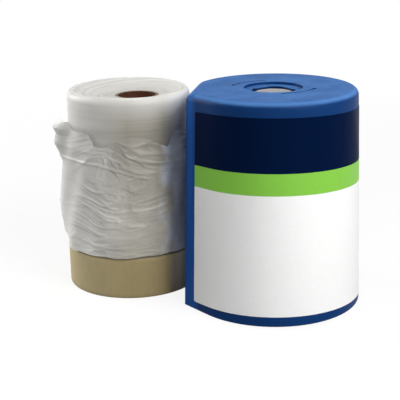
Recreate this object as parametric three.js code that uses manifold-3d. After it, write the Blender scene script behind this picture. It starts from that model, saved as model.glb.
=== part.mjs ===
// Masking film dispenser with its refill roll, in millimetres, +Z up.
// The origin is on the dispenser's axis, on the underside of its base, where it stands on a table.
// The dispenser is a tapered case over a base with a spindle, which carries a roll of taped film.
// A second roll, the refill, stands beside it.
import * as THREE from 'three';
import { mergeVertices } from 'three/addons/utils/BufferGeometryUtils.js';
import Module from 'manifold-3d';

const wasm = await Module();
wasm.setup();

const degree = Math.PI / 180;

// Rolls: a card tube, tape wound on its lower end and folded film above
const coreBoreRadius = 12;
const coreWall = 1.6;
const coreSunk = 4.85;
const tapeRadius = 42.4;
const tapeWidth = 25.5;
const tapeEdgeRound = 0.4;
const filmStep = 4.3;
const filmHeight = 100.3;
const filmEdgeRound = 3.2;
const filmEdgeDrop = 5.2;
const filmDish = 4.4;

// Case: a drop shape in plan, a circle drawn out to a sharp corner, over the roll.
// The front wall leaves the circle as a tangent, and the wall behind the corner is a flat cut into it.
const windingRoom = 7.3;
const caseDraft = 3.5;
const caseWall = 1.8;
const topPlate = 1.8;
const topEdgeRound = 4;
const caseFloorGap = 0.4;
const cornerHalfAngle = 22;
const wallTurn = 6;

// Sunk ring and hole in the top
const filmTopGap = 0.55;
const recessRadius = 17.5;
const recessDepth = 2;
const recessFloor = 0.8;
const recessWall = 1.6;
const topHoleRadius = 11.4;
const notchCount = 4;
const notchDepth = 1.6;
const notchAngle = 46;
const notchTurn = 84;

// Two curved slots that free the spring ring round the recess
const tongueSlotCount = 2;
const tongueSlotWidth = 1.2;
const tongueInset = 4.3;
const tongueDrift = 3;
const tongueStartAngle = -78;
const tongueSweep = 64;
const tongueEndHole = 1.3;

// Film slot behind the corner, and the cutter beside it
const slotCornerLand = 1.8;
const slotWidth = 8.5;
const slotTopLand = 4;
const slotGateMargin = 1;
const bladeWidth = 7.5;
const bladeThickness = 0.4;
const bladeBottom = 6;
const bladeTopMargin = 9;
const toothPitch = 2;
const toothDepth = 1;
const pegCount = 4;
const pegRadius = 1.1;
const pegHeadRadius = 1.9;
const pegHeadGap = 0.2;
const pegHeadHeight = 0.4;
const pegEndMargin = 10;

// Label round the front of the case
const labelCornerTurn = 8.7;
const labelEndAngle = 380;
const labelBottom = 6.5;
const labelTopMargin = 8.2;
const labelThickness = 0.2;
const labelSink = 2.6;
const labelLevelAngle = 268;

// Base and spindle
const baseFloor = 1.5;
const baseRimHeight = 7;
const baseRimWall = 1.6;
const socketHeight = 8;
const socketWall = 1.6;
const spindleWall = 1.4;
const spindleChamfer = 0.8;

// Refill roll, which stands behind the case, off the edge of its cut wall
const refillBearing = 161.75;
const refillCoreShift = 5.4;

// Leading ends of film and tape
const filmTailThickness = 0.3;
const tapeTailThickness = 0.35;
const tailWrapAngle = 40;
const tailExitInset = 2.7;

// Loose outer turns of film on the refill
const looseThickness = 0.5;
const looseTopDrop = 22.85;
const looseHemRise = 0.95;
const looseStandOff = 1.6;
const looseBelly = 2;
const looseHemSpread = 3.4;
const looseFolds = [
  { count: 7, drift: 5, turn: 0, depth: 0.9 },
  { count: 12, drift: -8, turn: 1, depth: 0.6 },
];
const looseEdgeSlope = 6;
const looseEdgeShare = 0.15;
const looseFacingShare = 0.7;

// Upper edge of the loose film: heights over its hem, by the angle round the roll
const looseTopEdge = [
  [184, 75.5], [190, 77.5], [197, 82], [203, 76.5], [235, 68.5], [262, 74], [300, 67.5],
  [325, 77.5], [345, 73.5], [380, 71.5], [420, 76.5], [470, 70.5], [510, 74.5], [544, 75.5],
];

// Flap on the left of the loose film: its distance from the roll, by its height over the hem
const flapAngle = 190;
const flapSpread = 17;
const flapStandOffs = [
  [0, 3.3], [3.5, 3.5], [7.5, 6], [17.5, 7.5], [27.5, 7.9], [40.5, 6.4], [53.5, 4.9], [59.5, 7], [65.5, 9.6],
  [71.5, 8.2], [75.5, 10], [82.5, 3.6],
];

// Clearances
const glueGap = 0.05;
const seatGap = 0.3;
const baseSideGap = 0.4;
const bearingGap = 0.4;
const cutOver = 1;
const slotCutOver = 1.7;

// Steps of the faceted curves
const circleSides = 48;
const smallSides = 12;
const caseSides = 60;
const roundSteps = 4;

const rollFloor = baseFloor + seatGap;
const filmRadius = tapeRadius - filmStep;
const filmBottom = tapeWidth + glueGap;
const filmTop = filmBottom + filmHeight;
const coreHeight = filmTop - coreSunk;
const coreOuterRadius = coreBoreRadius + coreWall;
const windingBore = coreOuterRadius + glueGap;
const dishBottom = rollFloor + filmTop + filmTopGap;
const caseHeight = dishBottom + recessFloor + recessDepth;
const caseBottomRadius = tapeRadius + windingRoom + baseRimWall + baseSideGap + caseWall;
const caseTopRadius = caseBottomRadius - caseDraft;
const taper = caseDraft / caseHeight;
const caseRadiusAt = (z) => caseBottomRadius - taper * z;
const cornerAngle = 180 + cornerHalfAngle;
const wallNormal = 180 - wallTurn;
const cornerReach = 1 / Math.cos(cornerHalfAngle * degree);
const wallReach = cornerReach * Math.cos((cornerHalfAngle + wallTurn) * degree);
const wallHalfAngle = Math.acos(wallReach) / degree;
const cornerFromWallMiddle = caseTopRadius * cornerReach * Math.sin((cornerHalfAngle + wallTurn) * degree);
const slotFromAxis = cornerFromWallMiddle - slotCornerLand;
const slotFar = -slotFromAxis + slotWidth;
const slotMiddle = -slotFromAxis + slotWidth / 2;
const bladeLength = caseHeight - bladeBottom - bladeTopMargin;
const labelStartAngle = cornerAngle + labelCornerTurn;
const labelTop = caseHeight - labelTopMargin;
const spindleRadius = coreBoreRadius - bearingGap;
const spindleTop = dishBottom - seatGap;
const looseTop = filmTop - looseTopDrop;
const looseHem = filmBottom + looseHemRise;
const foldDepth = looseFolds.reduce((sum, { depth }) => sum + depth, 0);
const hemFacingCase = looseHemSpread * (1 - looseFacingShare);
const looseWidest = filmRadius + seatGap + looseStandOff + foldDepth + hemFacingCase;
const tapeApart = caseBottomRadius + tapeRadius;
const looseApart = caseRadiusAt(looseHem) + looseWidest;
const refillDistance = Math.max(tapeApart, looseApart);

// Closed meshes as solids, for cutting and joining
function solidFrom(geometry) {
  const bare = geometry.index ? geometry.toNonIndexed() : geometry.clone();
  bare.deleteAttribute('normal');
  bare.deleteAttribute('uv');
  const merged = mergeVertices(bare, 1e-4);
  return new wasm.Manifold(new wasm.Mesh({
    numProp: 3,
    vertProperties: new Float32Array(merged.attributes.position.array),
    triVerts: new Uint32Array(merged.index.array),
  }));
}

function geometryFrom(solid) {
  const mesh = solid.getMesh();
  const geometry = new THREE.BufferGeometry();
  geometry.setAttribute('position', new THREE.BufferAttribute(mesh.vertProperties, 3));
  geometry.setIndex(new THREE.BufferAttribute(mesh.triVerts, 1));
  geometry.computeVertexNormals();
  return geometry;
}

// Degrees from one direction to another, the shorter way round
function turnBetween(from, to) {
  return ((to - from + 540) % 360) - 180;
}

// A value between the points of a list of [place, value]
function between(list, place) {
  const next = list.findIndex(([where]) => where >= place);
  if (next === 0) return list[0][1];
  if (next < 0) return list[list.length - 1][1];
  const [low, first] = list[next - 1];
  const [high, second] = list[next];
  return first + (second - first) * (place - low) / (high - low);
}

// Drop outline: the distance from the axis at an angle, for a circle of radius 1
function dropReach(angle) {
  const fromCorner = turnBetween(cornerAngle, angle);
  const fromNormal = turnBetween(wallNormal, angle);
  const fromTangent = cornerHalfAngle - fromCorner;
  if (fromCorner <= 0 && fromNormal > -wallHalfAngle) return wallReach / Math.cos(fromNormal * degree);
  return fromCorner > 0 && fromTangent > 0 ? 1 / Math.cos(fromTangent * degree) : 1;
}

// Angles of the outline's points, once round from the end of the front tangent
function dropAngles() {
  const first = cornerAngle + cornerHalfAngle;
  const sweep = 360 + wallNormal - wallHalfAngle - first;
  const angles = [];
  for (let i = 0; i <= caseSides; i += 1) angles.push(first + sweep * i / caseSides);
  angles.push(cornerAngle + 360);
  angles.push(labelStartAngle + 360);
  return angles;
}

const outline = dropAngles().map((angle) => {
  const reach = dropReach(angle);
  return [reach * Math.cos(angle * degree), reach * Math.sin(angle * degree)];
});

// A solid whose sections are the drop outline at the radii of a profile of [radius, height].
// The profile runs up the outside, starts and ends on the axis or closes on itself.
function dropLoft(profile) {
  const columns = outline.length;
  const positions = [];
  const rows = profile.map(([radius, height]) => {
    const start = positions.length / 3;
    const points = radius === 0 ? [[0, 0]] : outline;
    points.forEach(([x, y]) => positions.push(x * radius, y * radius, height));
    return { start, pole: radius === 0 };
  });
  const closes = !rows[0].pole;
  const bands = closes ? rows.length : rows.length - 1;
  const faces = [];
  for (let row = 0; row < bands; row += 1) {
    const low = rows[row];
    const high = rows[(row + 1) % rows.length];
    for (let i = 0; i < columns; i += 1) {
      const next = (i + 1) % columns;
      const a = low.start + (low.pole ? 0 : i);
      const b = low.start + (low.pole ? 0 : next);
      const c = high.start + (high.pole ? 0 : next);
      const d = high.start + (high.pole ? 0 : i);
      if (!low.pole) faces.push(a, b, c);
      if (!high.pole) faces.push(a, c, d);
    }
  }
  const geometry = new THREE.BufferGeometry();
  geometry.setAttribute('position', new THREE.Float32BufferAttribute(positions, 3));
  geometry.setIndex(faces);
  return geometry;
}

// A round solid from a closed profile of [radius, height], anticlockwise
function turned(profile, sides = circleSides) {
  const points = profile.map(([radius, height]) => new THREE.Vector2(radius, height));
  points.push(points[0].clone());
  return new THREE.LatheGeometry(points, sides).rotateX(Math.PI / 2);
}

function disc(radius, bottom, top, sides = circleSides) {
  const geometry = new THREE.CylinderGeometry(radius, radius, top - bottom, sides);
  return geometry.rotateX(Math.PI / 2).translate(0, 0, (bottom + top) / 2);
}

function ring(inner, outer, bottom, top) {
  return turned([[inner, bottom], [outer, bottom], [outer, top], [inner, top]]);
}

function prism(points, bottom, top) {
  const shape = new THREE.Shape(points.map(([x, y]) => new THREE.Vector2(x, y)));
  const geometry = new THREE.ExtrudeGeometry(shape, { depth: top - bottom, bevelEnabled: false });
  return geometry.translate(0, 0, bottom);
}

function pointAt(radius, angle) {
  return [radius * Math.cos(angle * degree), radius * Math.sin(angle * degree)];
}

// Outline of a band that follows a path, half its width to each side
function bandOutline(path, width) {
  const left = [];
  const right = [];
  path.forEach(([x, y], i) => {
    const [x0, y0] = path[Math.max(i - 1, 0)];
    const [x1, y1] = path[Math.min(i + 1, path.length - 1)];
    const length = Math.hypot(x1 - x0, y1 - y0);
    const nx = -(y1 - y0) / length * width / 2;
    const ny = (x1 - x0) / length * width / 2;
    left.push([x + nx, y + ny]);
    right.unshift([x - nx, y - ny]);
  });
  return right.concat(left);
}

// Frame of the flat wall behind the corner: across towards the corner, up the taper, and outwards
function slotWallFrame() {
  const across = new THREE.Vector3(0, -1, 0);
  const up = new THREE.Vector3(taper * wallReach, 0, 1).normalize();
  const out = new THREE.Vector3().crossVectors(across, up);
  const frame = new THREE.Matrix4().makeBasis(across, up, out);
  frame.setPosition(-caseBottomRadius * wallReach, 0, 0);
  return frame.premultiply(new THREE.Matrix4().makeRotationZ(-wallTurn * degree));
}

function pegHeights() {
  const span = bladeLength - 2 * pegEndMargin;
  return Array.from({ length: pegCount }, (_, i) => bladeBottom + pegEndMargin + span * i / (pegCount - 1));
}

const pegAcross = -slotFar - bladeWidth / 2;

// Case moulding
function caseProfile() {
  const inset = caseWall;
  const profile = [[0, caseHeight - topPlate]];
  profile.push([caseRadiusAt(caseHeight - topPlate) - inset, caseHeight - topPlate]);
  profile.push([caseRadiusAt(caseFloorGap) - inset, caseFloorGap]);
  profile.push([caseRadiusAt(caseFloorGap), caseFloorGap]);
  for (let i = 0; i <= roundSteps; i += 1) {
    const turn = 90 * degree * i / roundSteps;
    const height = caseHeight - topEdgeRound * (1 - Math.sin(turn));
    profile.push([caseRadiusAt(height) - topEdgeRound * (1 - Math.cos(turn)), height]);
  }
  profile.push([0, caseHeight]);
  return profile;
}

function topHoleCutters() {
  const bottom = dishBottom - cutOver;
  const top = caseHeight + cutOver;
  const cutters = [disc(recessRadius, caseHeight - recessDepth, top), disc(topHoleRadius, bottom, top)];
  for (let i = 0; i < notchCount; i += 1) {
    const middle = notchTurn + 360 * i / notchCount;
    const points = [[0, 0]];
    for (let step = 0; step <= roundSteps; step += 1) {
      const angle = middle + notchAngle * (step / roundSteps - 0.5);
      points.push(pointAt(topHoleRadius + notchDepth, angle));
    }
    cutters.push(prism(points, bottom, top));
  }
  return cutters;
}

function tongueCutters() {
  const bottom = caseHeight - topPlate - cutOver;
  const top = caseHeight + cutOver;
  const startRadius = recessRadius + tongueInset;
  const steps = 12;
  const cutters = [];
  for (let i = 0; i < tongueSlotCount; i += 1) {
    const path = [];
    for (let step = 0; step <= steps; step += 1) {
      const share = step / steps;
      const radius = startRadius + tongueDrift * share * share;
      path.push(pointAt(radius, tongueStartAngle + 360 * i / tongueSlotCount + tongueSweep * share));
    }
    const [endX, endY] = path[steps];
    cutters.push(prism(bandOutline(path, tongueSlotWidth), bottom, top));
    cutters.push(disc(tongueEndHole, bottom, top, smallSides).translate(endX, endY, 0));
  }
  return cutters;
}

function filmSlotCutter() {
  const depth = 2 * (caseDraft + caseWall + slotCutOver);
  const bottom = -cutOver;
  const top = caseHeight - slotTopLand;
  const box = new THREE.BoxGeometry(depth, slotWidth, top - bottom);
  box.translate(-caseBottomRadius * wallReach, slotMiddle, (bottom + top) / 2);
  return box.rotateZ(-wallTurn * degree);
}

function bladePegs() {
  const frame = slotWallFrame();
  const headStart = seatGap + bladeThickness + pegHeadGap;
  return pegHeights().flatMap((height) => {
    const shank = disc(pegRadius, -caseWall / 2, headStart + pegHeadHeight / 2, smallSides);
    const head = disc(pegHeadRadius, headStart, headStart + pegHeadHeight, smallSides);
    return [shank, head].map((piece) => piece.translate(pegAcross, height, 0).applyMatrix4(frame));
  });
}

function caseShell() {
  let shell = solidFrom(dropLoft(caseProfile()));
  shell = shell.add(solidFrom(disc(recessRadius + recessWall, dishBottom, caseHeight - topPlate / 2)));
  const cutters = [...topHoleCutters(), ...tongueCutters(), filmSlotCutter()];
  cutters.forEach((cutter) => {
    shell = shell.subtract(solidFrom(cutter));
  });
  bladePegs().forEach((peg) => {
    shell = shell.add(solidFrom(peg));
  });
  return geometryFrom(shell);
}

// Label, a thin sheet over the front of the case wall, whose ends sink as it wraps the taper
function frontLabel() {
  const angles = dropAngles().map((angle) => (angle >= labelStartAngle + 360 ? angle - 360 : angle));
  const wanted = angles.filter((angle) => angle >= labelStartAngle && angle <= labelEndAngle);
  wanted.sort((a, b) => a - b);
  const edges = [[0, labelBottom], [labelThickness, labelBottom], [labelThickness, labelTop], [0, labelTop]];
  const positions = [];
  wanted.forEach((angle) => {
    edges.forEach(([lift, level]) => {
      const z = level - labelSink * (1 - Math.cos((angle - labelLevelAngle) * degree));
      const radius = (caseRadiusAt(z) + glueGap + lift) * dropReach(angle);
      positions.push(...pointAt(radius, angle), z);
    });
  });
  const faces = [];
  const last = wanted.length - 1;
  for (let i = 0; i < last; i += 1) {
    for (let side = 0; side < 4; side += 1) {
      const a = 4 * i + side;
      const b = 4 * i + (side + 1) % 4;
      faces.push(a, a + 4, b + 4);
      faces.push(a, b + 4, b);
    }
  }
  faces.push(0, 1, 2, 0, 2, 3);
  faces.push(4 * last, 4 * last + 2, 4 * last + 1, 4 * last, 4 * last + 3, 4 * last + 2);
  const geometry = new THREE.BufferGeometry();
  geometry.setAttribute('position', new THREE.Float32BufferAttribute(positions, 3));
  geometry.setIndex(faces);
  return geometry;
}

// Toothed steel strip beside the film slot
function cutterBlade() {
  const shape = new THREE.Shape();
  const front = -slotFar;
  const back = front - bladeWidth;
  const top = bladeBottom + bladeLength;
  const teeth = Math.floor(bladeLength / toothPitch);
  shape.moveTo(back, bladeBottom);
  shape.lineTo(front, bladeBottom);
  for (let i = 0; i < teeth; i += 1) {
    shape.lineTo(front + toothDepth, bladeBottom + toothPitch * (i + 0.5));
    shape.lineTo(front, bladeBottom + toothPitch * (i + 1));
  }
  if (top - bladeBottom - teeth * toothPitch > 0.01) shape.lineTo(front, top);
  shape.lineTo(back, top);
  pegHeights().forEach((height) => {
    const hole = new THREE.Path();
    hole.absarc(pegAcross, height, pegRadius + seatGap, 0, 2 * Math.PI, true);
    shape.holes.push(hole);
  });
  const settings = { depth: bladeThickness, bevelEnabled: false, curveSegments: 6 };
  return new THREE.ExtrudeGeometry(shape, settings).translate(0, 0, seatGap).applyMatrix4(slotWallFrame());
}

// Base: a floor with a rim inside the case and a socket for the spindle
function baseCap() {
  const rimTop = baseFloor + baseRimHeight;
  const edgeAt = (z) => caseRadiusAt(z) - caseWall - baseSideGap;
  const rimOuter = edgeAt(rimTop);
  const rimInner = rimOuter - baseRimWall;
  const profile = [[0, 0], [edgeAt(baseFloor), 0], [edgeAt(baseFloor), baseFloor], [rimOuter, rimTop]];
  profile.push([rimInner, rimTop], [rimInner, baseFloor], [0, baseFloor]);
  const socketOuter = spindleRadius - spindleWall - seatGap;
  const socket = ring(socketOuter - socketWall, socketOuter, baseFloor / 2, baseFloor + socketHeight);
  const gateHeight = baseRimHeight + cutOver;
  const gate = new THREE.BoxGeometry(caseBottomRadius, slotWidth + 2 * slotGateMargin, gateHeight);
  gate.translate(-caseBottomRadius, slotMiddle, baseFloor + gateHeight / 2).rotateZ(-wallTurn * degree);
  return geometryFrom(solidFrom(dropLoft(profile)).subtract(solidFrom(gate)).add(solidFrom(socket)));
}

// Spindle: a tube with a closed top under the hole in the case
function spindle() {
  const inner = spindleRadius - spindleWall;
  const ceiling = spindleTop - spindleWall;
  const profile = [[inner, rollFloor], [spindleRadius, rollFloor]];
  profile.push([spindleRadius, spindleTop - spindleChamfer]);
  profile.push([spindleRadius - spindleChamfer, spindleTop], [0, spindleTop], [0, ceiling], [inner, ceiling]);
  return turned(profile);
}

// Rolls
function rollCore() {
  return ring(coreBoreRadius, coreOuterRadius, 0, coreHeight);
}

function tapeWinding() {
  return ring(windingBore, tapeRadius, 0, tapeWidth);
}

// Rounded upper edge of a winding
function windingEdge(radius, top, round, drop) {
  return Array.from({ length: roundSteps + 1 }, (_, i) => {
    const turn = 90 * degree * i / roundSteps;
    return [radius - round * (1 - Math.cos(turn)), top - drop * (1 - Math.sin(turn))];
  });
}

const filmEdge = windingEdge(filmRadius, filmTop, filmEdgeRound, filmEdgeDrop);
const tapeEdge = windingEdge(tapeRadius, tapeWidth, tapeEdgeRound, tapeEdgeRound);

// Folded film, whose end sinks from its edge to the card tube
function filmWinding() {
  const profile = [[windingBore, filmBottom], [filmRadius, filmBottom]];
  return turned(profile.concat(filmEdge, [[windingBore, filmTop - filmDish]]));
}

// The refill's turns lie a little off its card tube
function refillWinding(radius, bottom, top, edge, dish) {
  const boreEdge = windingBore + refillCoreShift;
  const profile = [[0, bottom], [radius, bottom]].concat(edge, [[boreEdge, top - dish], [0, top - dish]]);
  const bore = disc(windingBore, bottom - cutOver, top + cutOver).translate(refillCoreShift, 0, 0);
  return geometryFrom(solidFrom(turned(profile)).subtract(solidFrom(bore)));
}

// A leading end: round the roll, then straight to the film slot
function tail(rollRadius, thickness, bottom, top) {
  const radius = rollRadius + seatGap + thickness / 2;
  const [wall, along] = [caseTopRadius * wallReach, slotFromAxis - tailExitInset];
  const reach = Math.hypot(wall, along);
  const exitAngle = wallNormal + Math.atan2(along, wall) / degree;
  const exit = pointAt(reach, exitAngle);
  const leave = exitAngle + Math.acos(radius / reach) / degree;
  const steps = 8;
  const path = [];
  for (let i = 0; i <= steps; i += 1) path.push(pointAt(radius, leave + tailWrapAngle * (1 - i / steps)));
  path.push(exit);
  return prism(bandOutline(path, thickness), bottom, top);
}

// Loose outer film of the refill: a thin skirt with its main folds and one flap that stands off.
// It hangs wider towards its hem, and lies closer where it faces the case.
function looseReach(angle, share) {
  const height = (looseTop - looseHem) * share;
  const folds = looseFolds.reduce((sum, { count, drift, turn, depth }) => (
    sum + depth * Math.sin(count * angle * degree + drift * share + turn)), 0);
  const facing = Math.max(Math.cos((angle - refillBearing - 180) * degree), 0);
  const below = Math.max(1 - share, 0);
  const belly = looseBelly * Math.sin(Math.PI * below) + looseHemSpread * below ** 2;
  const ease = Math.min(1, looseEdgeSlope * below + looseEdgeShare);
  const general = belly * (1 - looseFacingShare * facing * facing) + (looseStandOff + folds) * ease;
  const flap = Math.exp(-((turnBetween(flapAngle, angle) / flapSpread) ** 2));
  return filmRadius + seatGap + general * (1 - flap) + between(flapStandOffs, height) * flap;
}

function looseFilm() {
  const columns = 72;
  const rows = 13;
  const start = looseTopEdge[0][0];
  const positions = [];
  for (let layer = 0; layer < 2; layer += 1) {
    for (let row = 0; row <= rows; row += 1) {
      const level = layer ? 1 - row / rows : row / rows;
      for (let i = 0; i < columns; i += 1) {
        const angle = start + 360 * i / columns;
        const height = between(looseTopEdge, angle) * level;
        const radius = looseReach(angle, height / (looseTop - looseHem)) + (layer ? 0 : looseThickness);
        positions.push(...pointAt(radius, angle), looseHem + height);
      }
    }
  }
  const loops = 2 * (rows + 1);
  const faces = [];
  for (let loop = 0; loop < loops; loop += 1) {
    for (let i = 0; i < columns; i += 1) {
      const next = (i + 1) % columns;
      const a = loop * columns + i;
      const b = loop * columns + next;
      const c = ((loop + 1) % loops) * columns + next;
      const d = ((loop + 1) % loops) * columns + i;
      faces.push(a, b, c, a, c, d);
    }
  }
  const geometry = new THREE.BufferGeometry();
  geometry.setAttribute('position', new THREE.Float32BufferAttribute(positions, 3));
  geometry.setIndex(faces);
  return geometry;
}

// Materials
function finish(color, roughness, metalness = 0) {
  return new THREE.MeshStandardMaterial({ color, roughness, metalness });
}

const bluePlastic = () => finish(0x2a5fae, 0.45);
const greyPlastic = () => finish(0xb4b3b6, 0.5);
const labelPaper = () => finish(0x10244a, 0.35);
const steel = () => finish(0xc0c2c6, 0.3, 1);
const card = () => finish(0x5a3324, 0.9);
const film = () => finish(0xd8d8d4, 0.35);
const tape = () => finish(0xb3a884, 0.7);

function piece(name, geometry, material) {
  geometry.computeVertexNormals();
  const mesh = new THREE.Mesh(geometry, material);
  mesh.name = name;
  return mesh;
}

// Assembly
const dispenser = new THREE.Group();
dispenser.add(piece('base_cap', baseCap(), bluePlastic()));
dispenser.add(piece('spindle', spindle(), greyPlastic()));
dispenser.add(piece('case_shell', caseShell(), bluePlastic()));
dispenser.add(piece('front_label', frontLabel(), labelPaper()));
dispenser.add(piece('cutter_blade', cutterBlade(), steel()));

const loadedFilmTop = rollFloor + filmTop - filmEdgeDrop;
const filmTail = tail(filmRadius, filmTailThickness, rollFloor + filmBottom, loadedFilmTop);
const tapeTail = tail(tapeRadius, tapeTailThickness, rollFloor, rollFloor + tapeWidth - seatGap);
dispenser.add(piece('film_tail', filmTail, film()));
dispenser.add(piece('tape_tail', tapeTail, tape()));

const loadedRoll = new THREE.Group();
loadedRoll.position.z = rollFloor;
loadedRoll.add(piece('loaded_core', rollCore(), card()));
loadedRoll.add(piece('loaded_tape', tapeWinding(), tape()));
loadedRoll.add(piece('loaded_film', filmWinding(), film()));

const refill = new THREE.Group();
refill.position.set(...pointAt(refillDistance, refillBearing), 0);
const refillCore = piece('refill_core', rollCore(), card());
refillCore.position.x = refillCoreShift;
refill.add(refillCore);
refill.add(piece('refill_tape', refillWinding(tapeRadius, 0, tapeWidth, tapeEdge, 0), tape()));
refill.add(piece('refill_film', refillWinding(filmRadius, filmBottom, filmTop, filmEdge, filmDish), film()));
refill.add(piece('refill_loose_film', looseFilm(), film()));

const model = new THREE.Group();
model.add(dispenser, loadedRoll, refill);

export default model;
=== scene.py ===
"""Masking film dispenser and refill roll: surfaces, finishes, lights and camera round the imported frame."""
from math import acos, atan, atan2, cos, hypot, pi, radians, sin, tau

import bpy
import numpy as np
from mathutils import Matrix, Vector


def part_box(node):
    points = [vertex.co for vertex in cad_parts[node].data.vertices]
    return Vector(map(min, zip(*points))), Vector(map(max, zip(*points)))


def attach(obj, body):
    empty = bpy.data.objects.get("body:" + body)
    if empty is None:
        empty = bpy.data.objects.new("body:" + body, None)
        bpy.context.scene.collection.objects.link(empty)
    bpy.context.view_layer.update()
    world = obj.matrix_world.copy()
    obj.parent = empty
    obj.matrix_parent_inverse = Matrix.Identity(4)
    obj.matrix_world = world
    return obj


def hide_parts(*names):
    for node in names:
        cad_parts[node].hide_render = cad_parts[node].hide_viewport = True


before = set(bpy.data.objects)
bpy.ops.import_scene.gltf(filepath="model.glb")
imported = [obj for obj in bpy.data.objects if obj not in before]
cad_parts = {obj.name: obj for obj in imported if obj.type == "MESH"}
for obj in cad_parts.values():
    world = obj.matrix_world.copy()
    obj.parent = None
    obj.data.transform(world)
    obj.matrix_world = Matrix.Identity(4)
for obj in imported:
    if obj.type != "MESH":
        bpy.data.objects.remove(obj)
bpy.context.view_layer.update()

MM = 0.001

# Camera, fitted to the outlines of the case and the refill roll
CAMERA_PLACE = (0.0, -576.47 * MM, 237.78 * MM)
CAMERA_PITCH_DOWN = radians(17.024)
CAMERA_YAW = radians(-4.4356)
CAMERA_ROLL = radians(-1.0578)
FOCAL_PIXELS = 982.37
PHOTO_PIXELS = 400
SENSOR_WIDTH = 36.0
NEAR_CLIP = 50 * MM

# Surround and floor, whose colour for the camera is paler than the one that lights the object
AMBIENT = 0.144
FLOOR_MATT = (0.35, 0.35, 0.35)
FLOOR_SEEN = (0.92, 0.92, 0.92)
FLOOR_GLOW = 0.88
FLOOR_FADE = (250 * MM, 700 * MM)
FLOOR_HALF = 6.0
FLOOR_DROP = 0.2 * MM

# Lamps: name, azimuth and elevation in degrees, distance and size in metres, and power in watts
LAMPS = (
    ("key", 312, 36, 0.95, 0.5, 10.1),
    ("left", 160, 17, 1.1, 0.5, 10.0),
    ("overhead", 60, 78, 0.95, 0.8, 0.8),
)
LAMP_TARGET = (-20 * MM, 0, 60 * MM)

# Case, in plan a circle drawn out to a corner, with a flat wall cut into it behind the corner
FOOT_RADIUS = 53.5 * MM
CASE_DRAFT = 3.5 * MM
CASE_WALL = 1.8 * MM
CORNER_HALF_ANGLE = radians(22)
CORNER_ANGLE = pi + CORNER_HALF_ANGLE
CORNER_REACH = 1 / cos(CORNER_HALF_ANGLE)
FRONT_NORMAL = CORNER_ANGLE + CORNER_HALF_ANGLE
WALL_TURN = radians(6)
WALL_NORMAL = pi - WALL_TURN
WALL_REACH = CORNER_REACH * cos(CORNER_HALF_ANGLE + WALL_TURN)
WALL_EDGE_BLEND = 0.02
CORNER_ROUND = 0.9 * MM
INNER_ROUND = 0.3 * MM
TOP_ROUND = 4.0 * MM
TOP_PLATE = 1.8 * MM
LIP_ROUND = 0.35 * MM
RECESS_RADIUS = 17.5 * MM
RECESS_LAND = 2.6 * MM
RECESS_DEPTH = 2.0 * MM
RECESS_FLOOR = 0.8 * MM
RECESS_WALL = 1.6 * MM
RECESS_FLAT = 26.5 * MM
EDGE_ROUND = 0.35 * MM
HOLE_RADIUS = 11.4 * MM
NOTCH_COUNT = 4
NOTCH_DEPTH = 1.6 * MM
NOTCH_ANGLE = 23.0
NOTCH_EASE = 1.2
NOTCH_TURN = 84.0
TONGUE_WIDTH = 1.2 * MM
TONGUE_START = 21.8 * MM
TONGUE_DRIFT = 3.0 * MM
TONGUE_ANGLE = -78.0
TONGUE_SWEEP = 64.0
TONGUE_END_HOLE = 1.3 * MM
CUTTER_MARGIN = 1 * MM
CUTTER_REACH = 5 * MM

# Strip beside the corner with painted light on it: across the case, and back from its front
PAINTED_STRIP_ACROSS = (-44 * MM, -47.5 * MM)
PAINTED_STRIP_BACK = (-20 * MM, -22 * MM)

# Film slot in the wall behind the corner, and the cutter beside it
SLOT_CORNER_LAND = 1.8 * MM
SLOT_WIDTH = 8.5 * MM
SLOT_TOP_LAND = 4.0 * MM
SLOT_ROUND = 1.6 * MM
SLOT_CUT_DEPTH = 2 * MM
BLADE_WIDTH = 7.5 * MM

# Label
LABEL_START = radians(210.7)
LABEL_END = radians(380)
LABEL_LEVEL_ANGLE = radians(268)
LABEL_SINK = 2.6 * MM
LABEL_BOTTOM = 6.5 * MM
LABEL_TOP = 122.8 * MM
LABEL_GAP = 0.06 * MM
LABEL_THICKNESS = 0.16 * MM
LABEL_CORNER = 0.8 * MM
LABEL_WAVE = 0.04 * MM
NAVY_GREEN = 91.5 * MM
GREEN_WHITE = 78.7 * MM

# Base, spindle and pegs, with their small profiles as (radius, height) in millimetres
BASE_FLOOR = 1.5 * MM
BASE_EASE = 0.4 * MM
BASE_MIDDLE = 2 * MM
BASE_DISC = 20 * MM
RIM_WALL = 1.6 * MM
RIM_GAP = 0.4 * MM
GATE_MARGIN = 1.0 * MM
SOCKET_OUTER = 9.9 * MM
SOCKET_WALL = 1.6 * MM
SOCKET_TOP = 9.5 * MM
SPINDLE_WALL = 1.4 * MM
SPINDLE_ROUND = 0.8 * MM
SPINDLE_MIDDLE = 0.5 * MM
SPINDLE_LAND = 2.2 * MM
SPINDLE_LAND_EASE = 0.4 * MM
SPINDLE_DISH = 0.3 * MM
MOULDING_MARK = ((2.4, -0.3), (2.2, -0.5), (0.9, -0.5), (0.7, -0.2))
PEG_COUNT = 4
PEG_END_MARGIN = 10 * MM
PEG_PROFILE = ((0.05, -0.5), (1.1, -0.5), (1.1, 0.9), (1.9, 0.95), (1.634, 1.12), (0.95, 1.22), (0.05, 1.25))

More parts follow.
